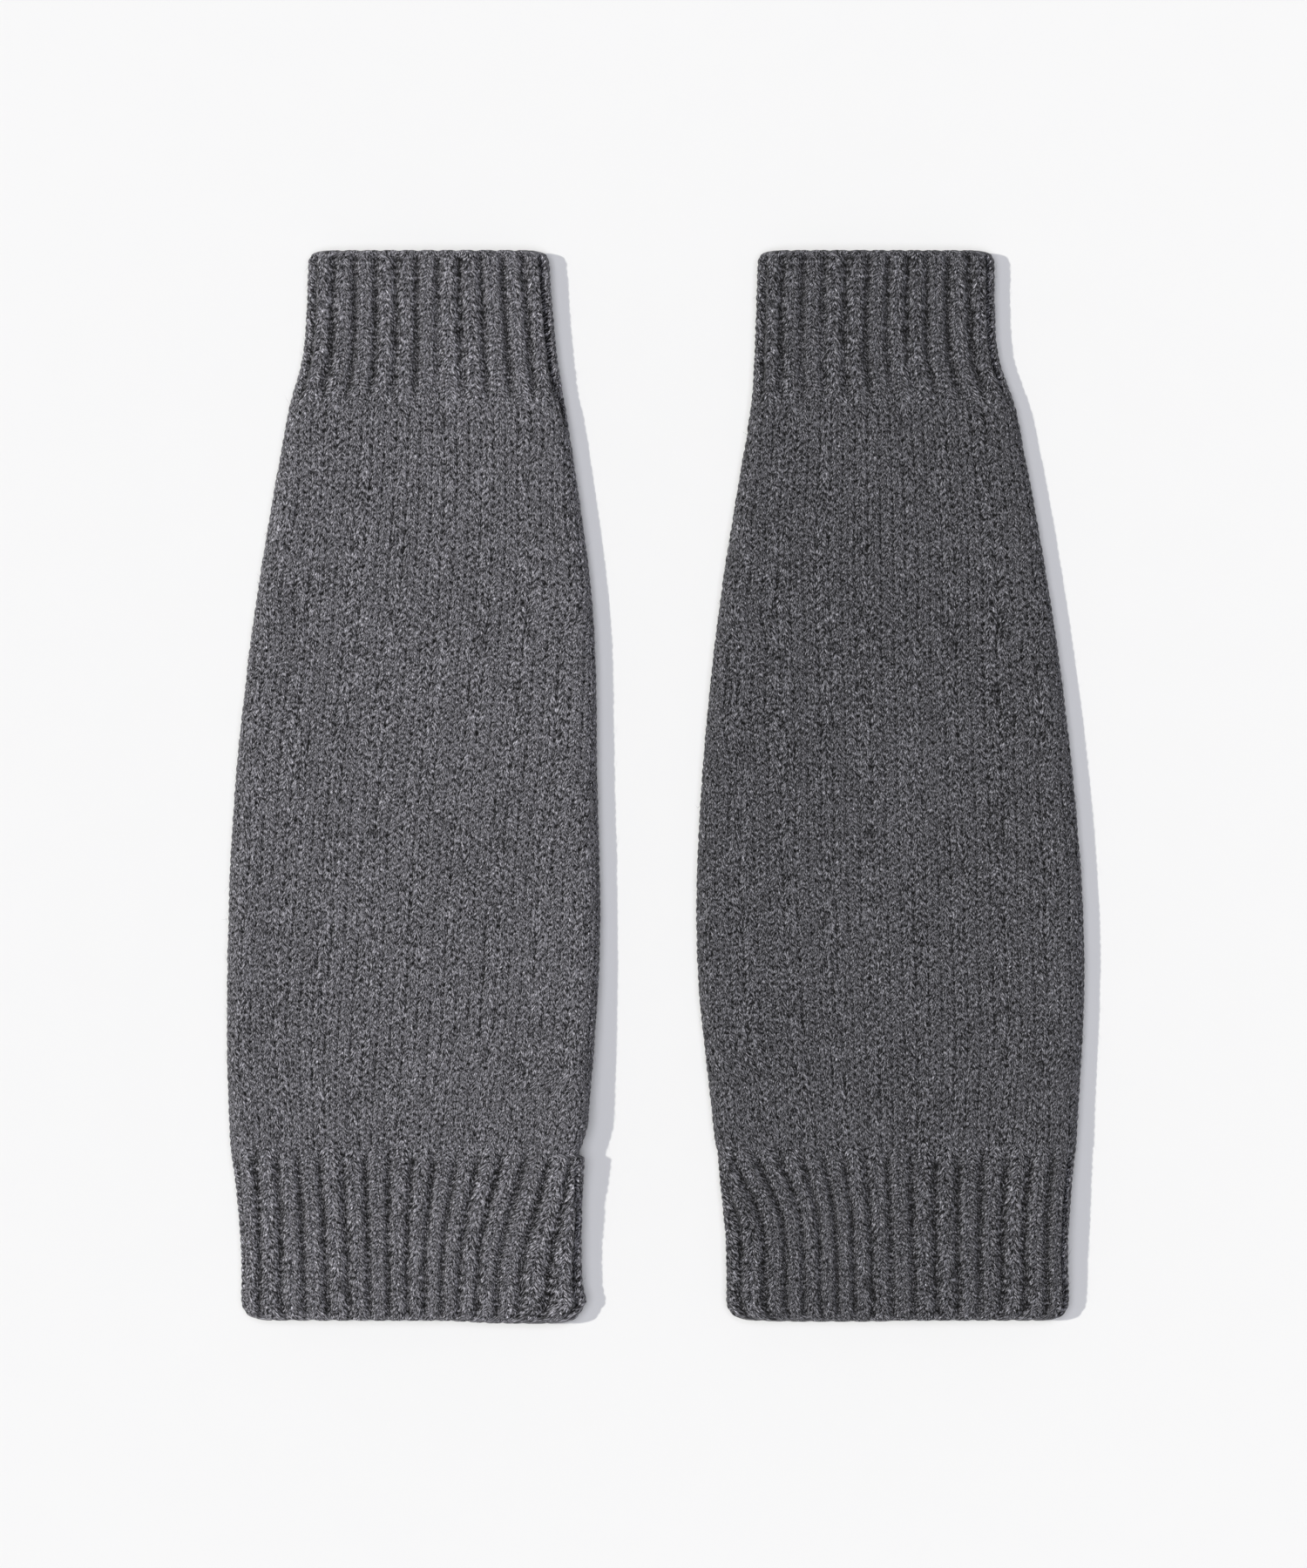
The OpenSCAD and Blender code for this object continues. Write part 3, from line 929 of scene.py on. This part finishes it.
def loose_wool(name, colour):
    """Single fibres, each of its own grey."""
    n = Nodes(bpy.data.materials.new(name))
    grey = n.sum("POWER", n.lift(), 1.5)
    return n.finish(n.scaled(colour, n.remap(grey, 0.0, 3.0, 0.6, PALE_FIBRE)), 0.8, 0.25)


def paper(name):
    """The pale surface under the gloves."""
    n = Nodes(bpy.data.materials.new(name))
    grain = n.remap(n.noise(n.place(), 60.0), 0.0, 1.0, 0.846, 0.854)
    return n.finish(n.scaled((1.0, 1.0, 1.0), grain), 1.0, 0.0)


COLOURS = {"left": (0.0915, 0.0899, 0.0987), "right": (0.0595, 0.0589, 0.0647)}
RIB_TONE = 0.95         # the ribs' colour against the plain stitches'
CONTRAST = {"left": 1.0, "right": 1.12}
materials = {}
for side, colour in COLOURS.items():
    rib_colour = tuple(c * RIB_TONE for c in colour)
    materials[side] = {
        "body": wool(f"{side}_plain_wool", colour, False, CONTRAST[side]),
        "cuff": wool(f"{side}_rib_wool", rib_colour, True, CONTRAST[side]),
        "loose": loose_wool(f"{side}_loose_wool", colour),
    }


# ---------------- the pieces of each glove

def piece_name(glove, part, layer, half, kind="knit"):
    """The name of a part's piece on one layer."""
    place = "back" if layer < 0 else f"front_{half}"
    return f"{glove.side}_{part}_{place}_{kind}"


def dress(obj, side, part):
    """Gives a piece its material."""
    kind = "body" if part == "body" else "edge" if part.endswith("edge") else "cuff"
    obj.data.materials.append(materials[side]["body" if kind == "body" else "cuff"])
    return obj


LIFT_INSET = 3.0        # from the fold to where the front starts to lift
LIFT_SHARE = 0.82       # share of the hand end's half width over which it lifts
LIFT_SHORT = 3.5        # and how much is taken off that


def lift_lines(glove, half):
    """Where the front starts to lift, just inside its fold, and where it has left the back."""
    outward = -1 if half == "left" else 1
    hand, arm = (
        Vector((glove.centre(y) + outward * (glove.half(y) - LIFT_INSET), y, 0))
        for y in (glove.hand_rim_y, glove.arm_rim_y)
    )
    down = (arm - hand).normalized()
    inward = Vector((down.y, -down.x, 0)) * outward
    width = LIFT_SHARE * glove.half(glove.hand_rim_y) - LIFT_SHORT
    middle = (hand + arm) / 2
    return middle * MM, (middle + inward * width) * MM


def join_layers(obj, glove, half):
    """Bakes the piece's placement into its mesh. Where the front would lift is worked out but not used.
    """
    start, end = lift_lines(glove, half)
    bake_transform(obj)


def declare_sheet(glove, part, half, rests_on):
    """Works out a sheet's widths along its length, and does nothing with them."""
    y0, y1 = span_of(glove, part)
    y = np.linspace(y0, y1, 40)
    share = 1 if half else 2
    widths = glove.reach(y) * share


def make_layer(glove, layer, half, detail):
    """All the pieces of the back, or of one half of the front."""
    made = {}
    for part in PARTS:
        build = knitted_edge if part.endswith("edge") else knitted_sheet
        made[part] = dress(build(glove, part, layer, half, detail), glove.side, part)
    return made


def loose_fibres(glove, layer, half):
    """The fibres on each part of a layer."""
    share = 1 if layer > 0 else BACK_FIBRES
    made = {}
    for part, count in FIBRES.items():
        obj = fibres(glove, part, layer, half, int(count * share))
        obj.data.materials.append(materials[glove.side]["loose"])
        made[part] = obj
    return made


def declare_layer(glove, half, knit, rests_on, seam=None):
    """Runs declare_sheet over a layer's three sheets. The edge or seam picked for each is not used."""
    extras = {"hand_cuff": knit["hand_edge"], "body": seam, "arm_cuff": knit["arm_edge"]}
    for part, extra in extras.items():
        declare_sheet(glove, part, half, [rests_on(part)])


def make_glove(glove):
    """Both layers of a glove, its seam and its fibres. The back's pieces and the seam go on the back's
    body.
    """
    side = glove.side
    back, back_fibres = make_layer(glove, -1, "", BACK_DETAIL), loose_fibres(glove, -1, "")
    seam = seam_allowance(glove)
    seam.data.materials.append(materials[side]["cuff"])
    for obj in (*back.values(), *back_fibres.values(), seam):
        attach(obj, f"{side}_back")
    for part, obj in back.items():
        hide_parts(f"{side}_{part}_back")
    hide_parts(f"{side}_side_seam")
    declare_layer(glove, "", back, lambda part: "floor", seam)
    for half in ("left", "right"):
        front, front_fibres = make_layer(glove, 1, half, FRONT_DETAIL), loose_fibres(glove, 1, half)
        for obj in (*front.values(), *front_fibres.values()):
            join_layers(obj, glove, half)
        for part, obj in front.items():
            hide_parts(f"{side}_{part}_front")
        declare_layer(glove, half, front, back.get)


# ---------------- floor, light and camera

FLOOR_REACH, FLOOR_Z = 3.0, -0.0003     # in metres
ROOM_COLOUR = (0.985, 0.988, 1.0, 1)
PALE_WALL, DIM_ROOM = 0.92, 0.11
WALL_FADE = (0.08, 0.24)        # heights, from 0 level to 1 overhead, where the pale wall ends
LENS = 200
VIEW_HEIGHT = 1.4625            # the view's height in lengths of the pair
VIEW_ASIDE = (-0.00065, 0.0004) # from the pair's middle to the view's, in metres
# Each lamp's energy, colour, spread, elevation above the floor, and turn from -X towards +Y
LAMPS = {
    "lamp": (1.70, (1.0, 0.985, 0.9), 2.0, 56, 5),
    "softbox": (1.74, (0.97, 0.98, 1.055), 32.0, 88, 0),
}


def make_floor():
    """A wide pale sheet just below the gloves."""
    mesh = bpy.data.meshes.new("floor")
    far = FLOOR_REACH
    corners = [(x, y, FLOOR_Z) for x, y in ((-far, -far), (far, -far), (far, far), (-far, far))]
    mesh.from_pydata(corners, [], [(0, 1, 2, 3)])
    floor = bpy.data.objects.new("floor", mesh)
    bpy.context.scene.collection.objects.link(floor)
    mesh.materials.append(paper("pale_paper"))


def add_sun(name, energy, colour, spread, elevation, turned):
    """A distant lamp, with its angles in degrees."""
    data = bpy.data.lights.new(name, "SUN")
    data.energy = energy
    data.color = colour
    data.angle = math.radians(spread)
    lamp = bpy.data.objects.new(name, data)
    bpy.context.scene.collection.objects.link(lamp)
    up, round_z = math.radians(elevation), math.radians(turned)
    level = math.cos(up)
    towards = Vector((-level * math.cos(round_z), level * math.sin(round_z), math.sin(up)))
    lamp.rotation_mode = "QUATERNION"
    lamp.rotation_quaternion = towards.to_track_quat("Z", "Y")


def light_room(world):
    """A room that is pale low down, behind the gloves, and dim overhead."""
    n = Nodes(world)
    height = n.split(n.add("ShaderNodeTexCoord").outputs["Generated"])[2]
    background = n.tree.nodes["Background"]
    background.inputs[0].default_value = ROOM_COLOUR
    n.put(background.inputs[1], n.remap(height, *WALL_FADE, PALE_WALL, DIM_ROOM, "SMOOTHSTEP"))


def make_light():
    """A lamp from the left, which casts the crisp shadows, a wide soft one overhead and a dim room."""
    scene = bpy.context.scene
    scene.world = bpy.data.worlds.new("studio")
    light_room(scene.world)
    for name, look in LAMPS.items():
        add_sun(name, *look)
    scene.view_settings.view_transform = "Standard"


def make_camera():
    """Straight above the pair, far off behind a long lens."""
    low, high = cad_bounds
    data = bpy.data.cameras.new("camera")
    data.lens = LENS
    camera = bpy.data.objects.new("camera", data)
    bpy.context.scene.collection.objects.link(camera)
    frame_height = (high.y - low.y) * VIEW_HEIGHT
    distance = frame_height * data.lens / data.sensor_width
    middle = (low + high) / 2
    aside, up = VIEW_ASIDE
    camera.location = (middle.x + aside, middle.y + up, high.z + distance)
    data.clip_end = 20
    bpy.context.scene.camera = camera


make_camera()
make_light()
make_floor()
for glove in gloves.values():
    make_glove(glove)
